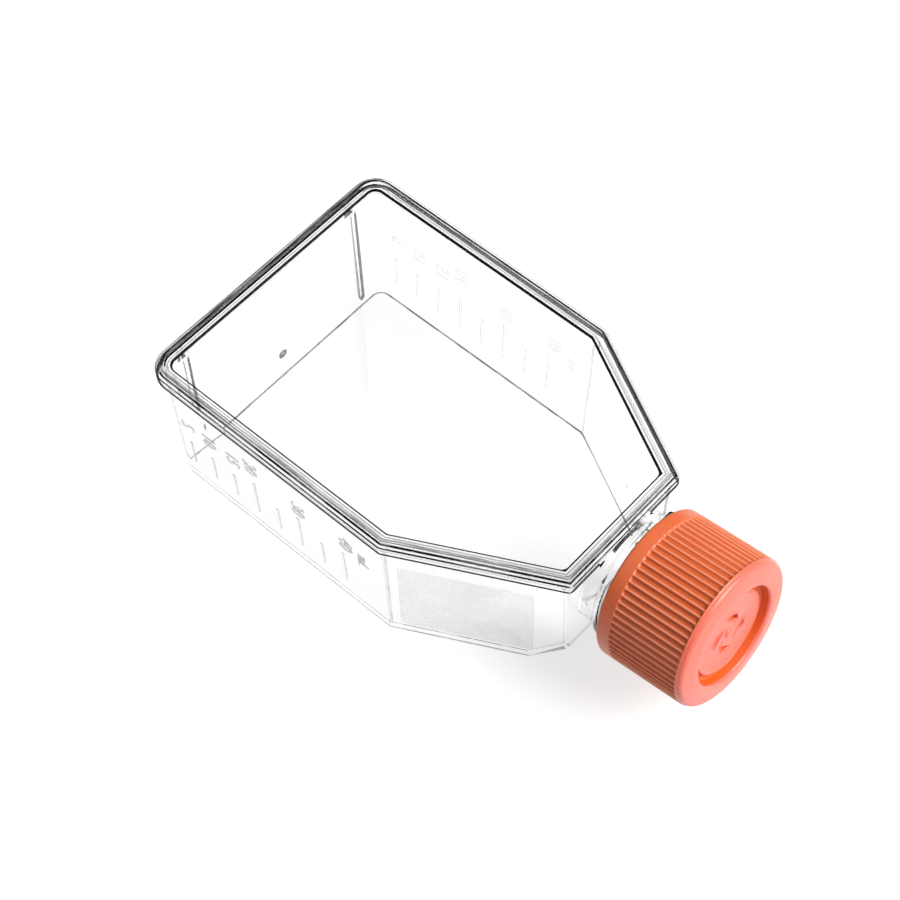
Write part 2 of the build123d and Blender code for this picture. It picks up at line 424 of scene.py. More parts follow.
@dataclass(frozen=True)
class Studio:
    """A white table in a light tent, with a darker room beyond it that only reflections show.

    Args:
        floor_reach: Metres from the table's middle to its edges.
        lit_reach: Metres from the middle within which a reflection finds the table white.
        lit_fade: How many times that reach it takes to fade to the room's light.
        floor_white: Share of light that the table throws back.
        floor_glow: Light of the table's own, which makes it white to the eye.
        tent_light: Light from all round.
        room_light: Light of the room, for rays that were reflected before.
        room_edge: Upward parts of a direction between which the room gives way to the tent.
        lamps: The lamps.
    """

    floor_reach: float = 1.6
    lit_reach: float = 0.09
    lit_fade: float = 1.6
    floor_white: float = 0.5
    floor_glow: float = 0.68
    tent_light: float = 0.24
    room_light: float = 0.27
    room_edge: Place = (0.5, 0.64)
    lamps: tuple[SoftLamp, ...] = (
        SoftLamp("key_lamp", 112.0, 43.0, 0.9, 0.5, 0.5, 10.0),
        SoftLamp("fill_lamp", -40.0, 60.0, 1.0, 0.8, 0.8, 0.5),
    )

    def build(self) -> None:
        """Makes the floor, the surroundings and the lamps."""
        self.floor()
        self.surroundings()
        for lamp in self.lamps:
            lamp.place()
        bpy.context.scene.view_settings.view_transform = "Standard"

    def floor(self) -> None:
        """Makes the table as one square face, pale and white where it is looked at."""
        mesh = bpy.data.meshes.new("table")
        reach = self.floor_reach
        corners = [(-reach, -reach, 0.0), (reach, -reach, 0.0), (reach, reach, 0.0), (-reach, reach, 0.0)]
        mesh.from_pydata(corners, [], [(0, 1, 2, 3)])
        table = bpy.data.objects.new("table", mesh)
        bpy.context.scene.collection.objects.link(table)
        material, sheet = blank_material("table_white")
        path = sheet.add("LightPath")
        kinds = ("Is Camera Ray", "Is Glossy Ray", "Is Transmission Ray")
        seen = sheet.chain("MAXIMUM", [path.outputs[kind] for kind in kinds])
        away = sheet.vector("LENGTH", sheet.add("TexCoord").outputs["Object"]).outputs["Value"]
        beyond = sheet.ease(away, self.lit_reach, self.lit_reach * self.lit_fade, smooth=False)
        bounced = sheet.math("MINIMUM", path.outputs["Glossy Depth"], 1.0)
        dark = sheet.chain("MULTIPLY", [bounced, beyond, 1.0 - self.room_light])
        glow = sheet.chain("MULTIPLY", [seen, sheet.rest(dark), self.floor_glow])
        matt = sheet.add("BsdfDiffuse", Color=grey(self.floor_white))
        shine = sheet.add("Emission", Color=grey(1.0), Strength=glow)
        both = sheet.add("AddShader")
        sheet.feed(both.inputs[0], matt.outputs[0])
        sheet.feed(both.inputs[1], shine.outputs[0])
        sheet.add("OutputMaterial", Surface=both.outputs[0])
        mesh.materials.append(material)
        table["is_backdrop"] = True

    def surroundings(self) -> None:
        """Fills the world: white to the eye, an even light, and a dark room low down for reflections."""
        world = bpy.data.worlds.new("tent")
        bpy.context.scene.world = world
        world.use_nodes = True
        sheet = NodeSheet(world.node_tree)
        path = sheet.add("LightPath")
        upward = sheet.add("SeparateXYZ", Vector=sheet.add("TexCoord").outputs["Generated"]).outputs["Z"]
        over = sheet.ease(upward, *self.room_edge, smooth=False)
        room = sheet.blend(over, grey(self.room_light), grey(1.0))
        bounced = sheet.math("MINIMUM", path.outputs["Glossy Depth"], 1.0)
        room = sheet.blend(bounced, grey(1.0), room)
        sharp = sheet.math("MAXIMUM", path.outputs["Is Glossy Ray"], path.outputs["Is Transmission Ray"])
        colour = sheet.blend(sharp, grey(self.tent_light), room)
        colour = sheet.blend(path.outputs["Is Camera Ray"], colour, grey(1.0))
        back = sheet.add("Background", Color=colour, Strength=1.0)
        sheet.add("OutputWorld", Surface=back.outputs[0])


# ---------------------------------------------------------------- effects that finishes share


def effect(
    name: str, inputs: dict[str, float], outputs: dict[str, str]
) -> tuple[NodeSheet, bpy.types.Node, bpy.types.Node]:
    """Starts a shader node group with named sockets.

    Args:
        name: The group's name.
        inputs: Names and default values of its number inputs.
        outputs: Names of its outputs, and what each is: Float or Vector.

    Returns:
        The sheet, the group's input node and its output node.
    """
    group = bpy.data.node_groups.new(name, "ShaderNodeTree")
    for label, value in inputs.items():
        socket = group.interface.new_socket(label, in_out="INPUT", socket_type="NodeSocketFloat")
        socket.default_value = value
    for label, kind in outputs.items():
        group.interface.new_socket(label, in_out="OUTPUT", socket_type="NodeSocket" + kind)
    sheet = NodeSheet(group)
    return sheet, group.nodes.new("NodeGroupInput"), group.nodes.new("NodeGroupOutput")


class Effects:
    """The effects that several finishes share, each built once."""

    made: dict[str, bpy.types.NodeTree] = {}

    @classmethod
    def place(cls, sheet: NodeSheet, name: str, **inputs: Any) -> bpy.types.Node:
        """Places one effect in a material.

        Args:
            sheet: The material's sheet.
            name: Which effect, by the name of the method that builds it.
            inputs: The effect's own values, where an underscore stands for a space.

        Returns:
            The group node.
        """
        if name not in cls.made:
            cls.made[name] = getattr(cls, name)()
        node = sheet.tree.nodes.new("ShaderNodeGroup")
        node.node_tree = cls.made[name]
        for label, value in inputs.items():
            sheet.feed(node.inputs[label.replace("_", " ")], value)
        return node

    @classmethod
    def within(cls, sheet: NodeSheet, value: Socket, limits: Place, blur: float = 0.03) -> Socket:
        """Places the effect "between" for two limits, and gives its mask."""
        low, high = limits
        return cls.place(sheet, "between", Value=value, Low=low, High=high, Blur=blur).outputs["Mask"]

    @staticmethod
    def between() -> bpy.types.NodeTree:
        """Tells where a value lies between two limits, with a short rise and fall: 1 there, 0 elsewhere.

        Returns:
            The group's tree.
        """
        sheet, given, result = effect(
            "between", {"Value": 0.0, "Low": 0.0, "High": 1.0, "Blur": 0.03}, {"Mask": "Float"}
        )
        value, low, high, blur = (given.outputs[name] for name in ("Value", "Low", "High", "Blur"))
        over = sheet.math("DIVIDE", sheet.math("SUBTRACT", value, low), blur, clamp=True)
        under = sheet.math("DIVIDE", sheet.math("SUBTRACT", high, value), blur, clamp=True)
        sheet.feed(result.inputs["Mask"], sheet.math("MULTIPLY", over, under))
        return sheet.tree

    @staticmethod
    def mould_edge() -> bpy.types.NodeTree:
        """Finds sharp moulded edges: a mask that is 1 on them, and a normal rounded over them.

        The mask grows with 1 - (rounded normal . plain normal), up to 1 at the reach.

        Returns:
            The group's tree.
        """
        sheet, given, result = effect(
            "mould_edge", {"Radius": 0.0002, "Reach": 0.25}, {"Mask": "Float", "Normal": "Vector"}
        )
        rounded = sheet.add("Bevel", {"samples": 5}, Radius=given.outputs["Radius"]).outputs["Normal"]
        match = sheet.vector("DOT_PRODUCT", rounded, sheet.add("NewGeometry").outputs["Normal"])
        away = sheet.rest(match.outputs["Value"])
        sheet.feed(result.inputs["Mask"], sheet.ease(away, 0.01, given.outputs["Reach"]))
        sheet.feed(result.inputs["Normal"], rounded)
        return sheet.tree

    @staticmethod
    def tub_field() -> bpy.types.NodeTree:
        """Measures places on the tub.

        Inset is the least distance in from the rim's plan: from the sides, half width - |y|, the rear,
        x + half length, the front, half length - x, and the shoulders, reach - out . (x, |y|), with the
        rear corners on a circle. Along is x + 0.9 y, which grows along every wall, and Rear the distance
        from the rear face. Turn is how far a place is from the line where side and shoulder meet, Rib how
        far from the middle line of a standing rib on the rear wall, and Gate how far from the gate mark
        there. For Rib and Gate, each millimetre in front of that wall counts as far millimetres.

        Returns:
            The group's tree.
        """
        measures = ("Inset", "Along", "Height", "Rear", "Turn", "Rib", "Gate")
        sheet, _, result = effect("tub_field", {}, dict.fromkeys(measures, "Float"))
        parts = sheet.add("SeparateXYZ", Vector=sheet.add("TexCoord").outputs["Object"])
        x, y, z = (sheet.math("MULTIPLY", parts.outputs[axis], 1.0 / MM) for axis in "XYZ")
        off = sheet.math("ABSOLUTE", y)
        side = sheet.math("SUBTRACT", PLAN.half_width, off)
        rear = sheet.math("ADD", x, PLAN.half_length)
        front = sheet.math("SUBTRACT", PLAN.half_length, x)
        out_x, out_y = PLAN.shoulder_out
        reach = out_x * PLAN.shoulder_start + out_y * PLAN.half_width
        shoulder = sheet.math("SUBTRACT", reach, sheet.scaled(x, out_x, sheet.math("MULTIPLY", off, out_y)))
        corner = PLAN.rear_corner
        short = [sheet.math("MAXIMUM", sheet.math("SUBTRACT", corner, gap), 0.0) for gap in (side, rear)]
        rounded = sheet.math("SUBTRACT", corner, sheet.hypotenuse(*short))
        beside_rib = sheet.math("SUBTRACT", off, PLAN.rib_place)
        under_rib = sheet.math("MINIMUM", sheet.math("SUBTRACT", z, PLAN.rib_foot), 0.0)
        far = 99.0
        before_rib, before_gate = (
            sheet.math("MULTIPLY", sheet.math("MAXIMUM", sheet.math("SUBTRACT", rear, depth), 0.0), far)
            for depth in (PLAN.rib_depth, PLAN.gate_depth)
        )
        gate = sheet.hypotenuse(y, sheet.math("SUBTRACT", z, PLAN.gate_height))
        found = (
            sheet.chain("MINIMUM", [rounded, front, shoulder]),
            sheet.scaled(y, 0.9, x),
            z,
            rear,
            sheet.math("ABSOLUTE", sheet.math("SUBTRACT", side, shoulder)),
            sheet.math("ADD", sheet.hypotenuse(beside_rib, under_rib), before_rib),
            sheet.math("ADD", gate, before_gate),
        )
        for name, value in zip(measures, found):
            sheet.feed(result.inputs[name], value)
        return sheet.tree

    @staticmethod
    def streaks() -> bpy.types.NodeTree:
        """Gives an uneven streaky mask that runs along the rim, which varies the painted shade of the dark
        lines.

        They are noise at (inset times across scale, along times along scale), eased from 0.42 to 0.56.

        Returns:
            The group's tree.
        """
        sheet, given, result = effect(
            "streaks",
            {"Inset": 0.0, "Along": 0.0, "Across Scale": 3.0, "Along Scale": 0.12},
            {"Mask": "Float"},
        )
        across = sheet.math("MULTIPLY", given.outputs["Inset"], given.outputs["Across Scale"])
        along = sheet.math("MULTIPLY", given.outputs["Along"], given.outputs["Along Scale"])
        place = sheet.add("CombineXYZ", X=across, Y=along)
        noise = sheet.add("TexNoise", Vector=place.outputs[0], Scale=1.0, Detail=3.0, Roughness=0.65)
        sheet.feed(result.inputs["Mask"], sheet.ease(noise.outputs[0], 0.42, 0.56))
        return sheet.tree

    @staticmethod
    def dust() -> bpy.types.NodeTree:
        """Scatters a few specks: a mask that is 1 within a short reach of some cell centres.

        Returns:
            The group's tree.
        """
        sheet, given, result = effect(
            "dust", {"Scale": 120.0, "Size": 0.08, "Rarity": 0.93}, {"Mask": "Float"}
        )
        place = sheet.add("TexCoord").outputs["Object"]
        scale = given.outputs["Scale"]
        cells = sheet.add("TexVoronoi", {"voronoi_dimensions": "3D"}, Vector=place, Scale=scale)
        near = sheet.math("LESS_THAN", cells.outputs["Distance"], given.outputs["Size"])
        pick = sheet.add("SeparateColor", Color=cells.outputs["Color"]).outputs[0]
        rare = sheet.math("GREATER_THAN", pick, given.outputs["Rarity"])
        sheet.feed(result.inputs["Mask"], sheet.math("MULTIPLY", near, rare))
        return sheet.tree

    @staticmethod
    def mould_flow() -> bpy.types.NodeTree:
        """Gives the slight waves of a moulded face: two sizes of noise as a height.

        Returns:
            The group's tree.
        """
        sheet, given, result = effect("mould_flow", {"Scale": 60.0, "Fine": 0.3}, {"Height": "Float"})
        place = sheet.add("TexCoord").outputs["Object"]
        broad = sheet.add("TexNoise", Vector=place, Scale=given.outputs["Scale"], Detail=2.0)
        close = sheet.add("TexNoise", Vector=place, Scale=1400.0, Detail=1.0)
        fine = sheet.math("MULTIPLY", close.outputs[0], given.outputs["Fine"])
        sheet.feed(result.inputs["Height"], sheet.math("ADD", broad.outputs[0], fine))
        return sheet.tree


# ---------------------------------------------------------------- finishes


@dataclass(frozen=True)
class Line:
    """One dark line of painted shade along an edge of a clear piece: a corner, a crease, a rib, a gate mark,
    a weld.

    Args:
        part: What shows it; not used by the code.
        strength: Darkness of the painted shade where it is strongest, from 0 to 1.
        spans: Measures of the tub's field, with the two limits between which the line lies.
        shares: Names of the masks that thin the line on its way.
        blur: Width of the line's soft edges.
    """

    part: str
    strength: float
    spans: dict[str, Place]
    shares: tuple[str, ...] = ()
    blur: float = 0.03


FRAME_TOP = {"Height": (26.3, 26.5)}
BEAD_TOP = {"Height": (26.9, 27.1)}
WALLS = {"Height": (1.0, 24.2)}

# Painted shade: dark lines along the plate's outer edge, bead, recess and weld.
PLATE_LINES = (
    Line("outer edge", 1.0, {"Height": (26.05, 26.5), "Inset": (-0.2, 0.14)}, ("solid",)),
    Line("frame behind the bead", 0.95, FRAME_TOP | {"Inset": (0.1, 0.8)}, ("uneven", "behind")),
    Line("bead's top", 0.95, BEAD_TOP | {"Inset": (0.7, 1.4)}, ("uneven",)),
    Line("bead's inner edge, at the rear", 1.0, BEAD_TOP | {"Inset": (1.02, 1.3)}, ("behind", "solid")),
    Line("bead's outer edge", 0.85, BEAD_TOP | {"Inset": (0.7, 0.92)}, ("beside",)),
    Line("bead's outer foot", 1.0, FRAME_TOP | {"Inset": (0.42, 0.78)}, ("beside", "solid")),
    Line("frame inside the bead", 0.5, FRAME_TOP | {"Inset": (1.38, 1.95)}, ("uneven", "beside")),
    Line("bead's inner foot, at the rear", 1.0, FRAME_TOP | {"Inset": (1.32, 1.64)}, ("behind",)),
    Line("pan's wall under the frame", 0.6, FRAME_TOP | {"Inset": (1.8, 2.02)}, ("solid",)),
    Line("edge of the recess", 1.0, {"Height": (26.08, 26.5), "Inset": (2.26, 2.75)}),
    Line("weld", 0.35, {"Height": (25.35, 25.6), "Inset": (-0.2, 0.1)}),
)
# Painted shade: dark lines along the tub's flange, floor crease, sole, shoulders, standing ribs and gate
# mark.
TUB_LINES = (
    Line("edge of the flange", 1.0, {"Inset": (-0.2, 0.4), "Height": (24.1, 24.8)}),
    Line("floor, where the walls meet it", 1.0, {"Inset": (2.66, 3.2), "Height": (1.0, 1.5)}, ("patchy",)),
    Line("sole's round edge", 0.9, {"Inset": (1.7, 2.45), "Height": (-0.1, 0.85)}, ("solid",)),
    Line("side meets shoulder", 0.6, {"Turn": (-0.3, 0.08), "Inset": (0.8, 3.4)} | WALLS, ("patchy",)),
    Line("standing ribs", 0.99, {"Rib": (0.34, 0.56), "Height": (1.0, 22.6)}),
    Line("gate mark's ring", 1.0, {"Gate": (0.25, 0.85)} | WALLS, blur=0.05),
    Line("gate mark's dimple", 0.8, {"Gate": (-0.5, 0.9)} | WALLS, blur=0.05),
)


class ShadeLines(Enum):
    """Which painted dark lines of shade a clear piece shows."""

    NONE = ()
    TUB = TUB_LINES
    PLATE = PLATE_LINES


@dataclass(frozen=True)
class ClearPlastic:
    """Polished clear polystyrene, with painted shade along its moulded edges, where it is seen edge on and in
    dark lines.

    Args:
        name: The material's name.
        marks: The painted dark lines of shade it shows.
        clear: Its tint where it is plain.
        edge: Its tint for the painted shade on edges and where it is seen edge on, and for specks of dust.
        line: Its tint for the painted shade of the dark lines.
        edge_radius: Rounding of its edges, in metres.
        edge_depth: How dark the painted shade on the edges gets, from 0 to 1.
        graze: How far aside a face looks, from where to where painted shade darkens it.
        graze_depth: How dark that painted shade gets there.
        speck_depth: How dark the specks are.
        rim_heights: Heights between which the rim lies.
        rim_calm: How much of the painted shade on the edges the rim is spared.
        body_reach: Distances from the rear face between which the tub lies, with no neck.
        through: Share of the light that goes straight through the rim, and straight out of the walls.
        index: Its refractive index.
        shadow: What it lets through to the floor.
        edge_shadow: What it lets through where it is seen edge on.
    """

    name: str
    marks: ShadeLines
    clear: Colour = (0.998, 0.999, 0.999, 1.0)
    # Painted shade: the edge tint darkens edges and grazing faces (and the dust specks), the line tint draws
    # the dark lines.
    edge: Colour = (0.06, 0.065, 0.065, 1.0)
    line: Colour = (0.002, 0.002, 0.002, 1.0)
    edge_radius: float = 0.00022
    edge_depth: float = 0.85
    graze: Place = (0.72, 0.98)
    graze_depth: float = 0.8
    speck_depth: float = 0.6
    rim_heights: Place = (24.2, 27.3)
    rim_calm: float = 0.8
    body_reach: Place = (-1.0, 70.4)
    through: float = 0.92
    index: float = 1.59
    shadow: float = 0.995
    edge_shadow: float = 0.85

    def shares(self, sheet: NodeSheet, field: bpy.types.Node) -> dict[str, Socket]:
        """Makes the masks that thin the painted dark lines of shade on their way.

        For long streaks b and fine ones s, solid = 0.85 + 0.15 b, patchy = 0.45 + 0.55 b and
        uneven = 0.18 + 0.22 behind + 0.5 s. Behind is 1 along the rear edge, and beside = 1 - behind.

        Args:
            sheet: The material's sheet.
            field: The tub's field in that sheet.

        Returns:
            The masks by name.
        """
        inset, along, height, rear = (field.outputs[name] for name in ("Inset", "Along", "Height", "Rear"))
        fine = Effects.place(sheet, "streaks", Inset=inset, Along=along, Across_Scale=3.6).outputs["Mask"]
        long = Effects.place(sheet, "streaks", Inset=height, Along=along, Across_Scale=0.05, Along_Scale=0.16)
        behind = Effects.within(sheet, rear, (-1.0, 2.6), 0.4)
        return {
            "solid": sheet.scaled(long.outputs["Mask"], 0.15, 0.85),
            "patchy": sheet.scaled(long.outputs["Mask"], 0.55, 0.45),
            "behind": behind,
            "beside": sheet.rest(behind),
            "uneven": sheet.scaled(fine, 0.5, sheet.scaled(behind, 0.22, 0.18)),
        }

    def lines(self, sheet: NodeSheet, field: bpy.types.Node) -> Socket:
        """Draws the piece's painted dark lines of shade: each is the product of its spans, its shares and its
        strength.

        Args:
            sheet: The material's sheet.
            field: The tub's field in that sheet.

        Returns:
            A mask, 1 on the darkest lines.
        """
        shares = self.shares(sheet, field)
        drawn = []
        for line in self.marks.value:
            masks = [shares[name] for name in line.shares]
            for name, span in line.spans.items():
                masks.append(Effects.within(sheet, field.outputs[name], span, line.blur))
            drawn.append(sheet.chain("MULTIPLY", [*masks, line.strength]))
        return sheet.chain("MAXIMUM", drawn)

    def tint(
        self, sheet: NodeSheet, field: bpy.types.Node, edges: Socket, aside: Socket, rim: Socket
    ) -> Socket:
        """Tints the plastic with painted shade on its edges, where it looks aside and along its dark lines,
        and darkens its specks of dust.

        Args:
            sheet: The material's sheet.
            field: The tub's field in that sheet.
            edges: A mask of the moulded edges.
            aside: How far aside the surface looks.
            rim: A mask of the rim.

        Returns:
            The tint.
        """
        specks = Effects.place(sheet, "dust").outputs["Mask"]
        calm = sheet.rest(sheet.math("MULTIPLY", rim, self.rim_calm))
        # Painted shade on the moulded edges and where the face is seen edge on; the specks are dust.
        causes = [
            sheet.chain("MULTIPLY", [edges, self.edge_depth, calm]),
            sheet.chain("MULTIPLY", [sheet.ease(aside, *self.graze), self.graze_depth, calm]),
            sheet.math("MULTIPLY", specks, self.speck_depth),
        ]
        tint = sheet.blend(sheet.chain("MAXIMUM", causes), self.clear, self.edge)
        if self.marks is ShadeLines.NONE:
            return tint
        # Painted shade: the dark lines.
        return sheet.blend(self.lines(sheet, field), tint, self.line)

    def material(self) -> bpy.types.Material:
        """Builds the material: glass, with a straight way through the rim and out of the walls.

        Lamps and the light between faces see only a thin veil of it.

        Returns:
            The material.
        """
        made, sheet = blank_material(self.name)
        path = sheet.add("LightPath")
        aside = sheet.add("LayerWeight", Blend=0.5).outputs["Facing"]
        geometry = sheet.add("NewGeometry")
        field = Effects.place(sheet, "tub_field")
        edges = Effects.place(sheet, "mould_edge", Radius=self.edge_radius)
        rim = Effects.within(sheet, field.outputs["Height"], self.rim_heights, 0.05)
        # The tint carries the painted shade of edges, grazing faces and dark lines.
        tint = self.tint(sheet, field, edges.outputs["Mask"], aside, rim)
        normal = sheet.blend(rim, edges.outputs["Normal"], geometry.outputs["Normal"], "VECTOR")
        wave = Effects.place(sheet, "mould_flow").outputs["Height"]
        bump = sheet.add("Bump", Height=wave, Strength=0.02, Distance=0.0005, Normal=normal)
        glass = sheet.add(
            "BsdfPrincipled",
            Base_Color=tint,
            Roughness=0.0,
            IOR=self.index,
            Transmission_Weight=1.0,
            Normal=bump.outputs["Normal"],
        )
        body = Effects.within(sheet, field.outputs["Rear"], self.body_reach, 0.5)
        leaving = sheet.math("MULTIPLY", body, geometry.outputs["Backfacing"])
        passed = sheet.math("MULTIPLY", sheet.math("MAXIMUM", rim, leaving), self.through)
        seen = sheet.layered(passed, glass, sheet.add("BsdfTransparent", Color=tint))
        veil = sheet.blend(aside, grey(self.shadow), grey(self.edge_shadow))
        lit = sheet.math("MAXIMUM", path.outputs["Is Shadow Ray"], path.outputs["Is Diffuse Ray"])
        both = sheet.layered(lit, seen, sheet.add("BsdfTransparent", Color=veil))
        sheet.add("OutputMaterial", Surface=both.outputs[0])
        return made


@dataclass(frozen=True)
class CapPlastic:
    """Semi-gloss orange polyethylene, with painted highlight on the grip's crests and outer edges, painted
    shade in its hollows, recess and vents, and a paler painted sheen on the end face.

    Args:
        name: The material's name.
        axes: Where the cap stands.
        radius: Radius of the grip's crests.
        rib_depth: Depth of the grip.
        disc_face: Height of the disc on the cap's axis.
        grip: Heights between which the ribs stand.
        ring: Radii between which the groove round the disc lies.
        colour: The plain band and the inside.
        crest: Painted highlight on the ribs' crests and the raised lines, and the colour of pale specks.
        shade_and_cloud: Painted shade between the ribs, and the darker clouds in the plastic.
        wall: Painted shade on the walls of the recess and the vents.
        face: The end face, paler with a painted sheen.
        roughness: Roughness where the plastic is clearest.
        cloud_rough: How much rougher the clouds are.
        edge_share: How far the outer edges go to the crests' colour, as a painted highlight.
        cloud_share: How far the clouds go to the hollows' colour.
        speck_share: How far the specks go to the crests' colour.
    """

    name: str
    axes: NeckAxes
    radius: float
    rib_depth: float
    disc_face: float
    grip: Place
    ring: Place
    colour: Colour = (0.86, 0.165, 0.05, 1.0)
    # Painted light: a painted highlight on crests, painted shade in hollows and on recess walls, a painted
    # sheen on the end face; the specks and clouds sharing these colours are real.
    crest: Colour = (0.98, 0.34, 0.20, 1.0)
    shade_and_cloud: Colour = (0.70, 0.125, 0.022, 1.0)
    wall: Colour = (0.72, 0.12, 0.015, 1.0)
    face: Colour = (0.94, 0.185, 0.135, 1.0)
    roughness: float = 0.27
    cloud_rough: float = 0.12
    edge_share: float = 0.5
    cloud_share: float = 0.16
    speck_share: float = 0.35

    def field(self, sheet: NodeSheet) -> tuple[Socket, Socket]:
        """Measures radius and height on the cap's own axis.

        Height is (p - origin) . axis, and the radius |(p - origin) cross axis|.

        Args:
            sheet: The material's sheet.

        Returns:
            The radius and the height.
        """
        local = sheet.vector("SUBTRACT", sheet.add("TexCoord").outputs["Object"], self.axes.origin).outputs[0]
        along = sheet.vector("DOT_PRODUCT", local, self.axes.axis).outputs["Value"]
        off = sheet.vector("CROSS_PRODUCT", local, self.axes.axis).outputs[0]
        reach = sheet.vector("LENGTH", off).outputs["Value"]
        return sheet.math("MULTIPLY", reach, 1.0 / MM), sheet.math("MULTIPLY", along, 1.0 / MM)

    def side(self, sheet: NodeSheet, radius: Socket, height: Socket) -> Socket:
        """Colours the grip with a painted highlight on its crests and painted shade in its hollows, the plain
        band, and the shoulder with the end face's painted sheen.

        Args:
            sheet: The material's sheet.
            radius: The radius on the cap's axis.
            height: The height on it.

        Returns:
            The side's colour.
        """
        # Painted highlight on the crests and painted shade in the hollows, by radius.
        rise = sheet.ease(radius, self.radius - self.rib_depth * 0.55, self.radius - 0.02)
        ribs = sheet.blend(rise, self.shade_and_cloud, self.crest)
        side = sheet.blend(Effects.within(sheet, height, self.grip, 0.12), self.colour, ribs)
        # The shoulder takes the end face's painted sheen.
        shoulder = sheet.ease(height, self.grip[1] - 0.05, self.grip[1] + 0.3)
        return sheet.blend(shoulder, side, self.face)

    def end(self, sheet: NodeSheet, radius: Socket, height: Socket) -> Socket:
        """Colours the end face with its painted sheen, and the walls and groove that lie under it with
        painted shade.

        Args:
            sheet: The material's sheet.
            radius: The radius on the cap's axis.
            height: The height on it.

        Returns:
            The end's colour.
        """
        # Painted shade on the recess walls and in the vents under the disc's face, and in the groove.
        rise = sheet.ease(height, self.disc_face - 0.35, self.disc_face - 0.03)
        end = sheet.blend(rise, self.wall, self.face)
        below = sheet.math("LESS_THAN", height, self.disc_face + 0.75)
        groove = sheet.math("MULTIPLY", Effects.within(sheet, radius, self.ring, 0.06), below)
        return sheet.blend(groove, end, self.wall)

    def material(self) -> bpy.types.Material:
        """Builds the cap's material.

        Returns:
            The material.
        """
        made, sheet = blank_material(self.name)
        radius, height = self.field(sheet)
        side_reach = (self.radius - self.rib_depth - 0.3, self.radius + 1.0)
        on_side = Effects.within(sheet, radius, side_reach, 0.1)
        colour = sheet.blend(on_side, self.end(sheet, radius, height), self.side(sheet, radius, height))
        # Painted highlight on the outer moulded edges and raised lines.
        edges = Effects.place(sheet, "mould_edge", Radius=0.00016, Reach=0.3).outputs["Mask"]
        outside = sheet.math("GREATER_THAN", height, self.disc_face - 0.2)
        colour = sheet.blend(sheet.chain("MULTIPLY", [edges, outside, self.edge_share]), colour, self.crest)
        wave = Effects.place(sheet, "mould_flow", Scale=220.0, Fine=0.7).outputs["Height"]
        cloud = sheet.ease(wave, 0.55, 1.1, smooth=False)
        colour = sheet.blend(sheet.math("MULTIPLY", cloud, self.cloud_share), colour, self.shade_and_cloud)
        specks = Effects.place(sheet, "dust", Scale=700.0, Size=0.09, Rarity=0.9).outputs["Mask"]
        colour = sheet.blend(sheet.math("MULTIPLY", specks, self.speck_share), colour, self.crest)
        bump = sheet.add("Bump", Height=wave, Strength=0.12, Distance=0.0002)
        plastic = sheet.add(
            "BsdfPrincipled",
            Base_Color=colour,
            Roughness=sheet.scaled(cloud, self.cloud_rough, self.roughness),
            IOR=1.5,
            Subsurface_Weight=0.12,
            Subsurface_Scale=0.0008,
            Normal=bump.outputs["Normal"],
        )
        sheet.add("OutputMaterial", Surface=plastic.outputs[0])
        return made


@dataclass(frozen=True)
class PorousFilm:
    """Matt white filter film with fine pores.

    Args:
        name: The material's name.
        colour: The film's own colour.
        pore: The pores' colour.
    """

    name: str
    colour: Colour = (0.86, 0.86, 0.83, 1.0)
    pore: Colour = (0.62, 0.62, 0.60, 1.0)

    def material(self) -> bpy.types.Material:
        """Builds the film's material.

        Returns:
            The material.
        """
        made, sheet = blank_material(self.name)
        place = sheet.add("TexCoord").outputs["Object"]
        cells = sheet.add("TexVoronoi", {"feature": "F1"}, Vector=place, Scale=6000.0)
        wave = Effects.place(sheet, "mould_flow", Scale=500.0, Fine=0.8)
        pores = sheet.math("LESS_THAN", cells.outputs["Distance"], 0.3)
        bump = sheet.add("Bump", Height=wave.outputs["Height"], Strength=0.4, Distance=0.0001)
        film = sheet.add(
            "BsdfPrincipled",
            Base_Color=sheet.blend(pores, self.colour, self.pore),
            Roughness=0.9,
            Normal=bump.outputs["Normal"],
        )
        sheet.add("OutputMaterial", Surface=film.outputs[0])
        return made


@dataclass(frozen=True)
class Frosting:
    """Finely etched patch that a pencil writes on: a thin veil that lets most light through.

    The veil's share is thinnest + 0.22 fine noise + 0.10 broad noise, held between 0 and 1.

    Args:
        name: The material's name.
        colour: The veil's colour.
        thinnest: The veil's share where both noises are 0.
    """

    name: str
    colour: Colour = (0.66, 0.67, 0.68, 1.0)
    thinnest: float = -0.085

    def material(self) -> bpy.types.Material:
        """Builds the frosting's material.

        Returns:
            The material.
        """
        made, sheet = blank_material(self.name)
        place = sheet.add("TexCoord").outputs["Object"]
        grain = sheet.add("TexNoise", Vector=place, Scale=5200.0, Detail=2.0).outputs[0]
        cloud = sheet.add("TexNoise", Vector=place, Scale=160.0, Detail=3.0).outputs[0]
        share = sheet.scaled(grain, 0.22, self.thinnest)
        share = sheet.math("ADD", share, sheet.math("MULTIPLY", cloud, 0.10), clamp=True)
        bump = sheet.add("Bump", Height=grain, Strength=0.3, Distance=0.00005)
        etched = sheet.add(
            "BsdfPrincipled", Base_Color=self.colour, Roughness=0.8, Normal=bump.outputs["Normal"]
        )
        both = sheet.layered(share, sheet.add("BsdfTransparent", Color=grey(1.0)), etched)
        sheet.add("OutputMaterial", Surface=both.outputs[0])
        return made


def dress(node: str, material: bpy.types.Material) -> None:
    """Gives a CAD node one material on each of its slots.

    Args:
        node: The node's name.
        material: Its material.
    """
    piece = frame["nodes"][node]
    for holder in piece.material_slots:
        holder.material = material


# ---------------------------------------------------------------- surfaces


def smooth_step(value: np.ndarray, low: float, high: float) -> np.ndarray:
    """Rises from 0 at low to 1 at high as 3t^2 - 2t^3, and stays flat beyond them."""
    t = np.clip((value - low) / (high - low), 0.0, 1.0)
    return t * t * (3.0 - 2.0 * t)


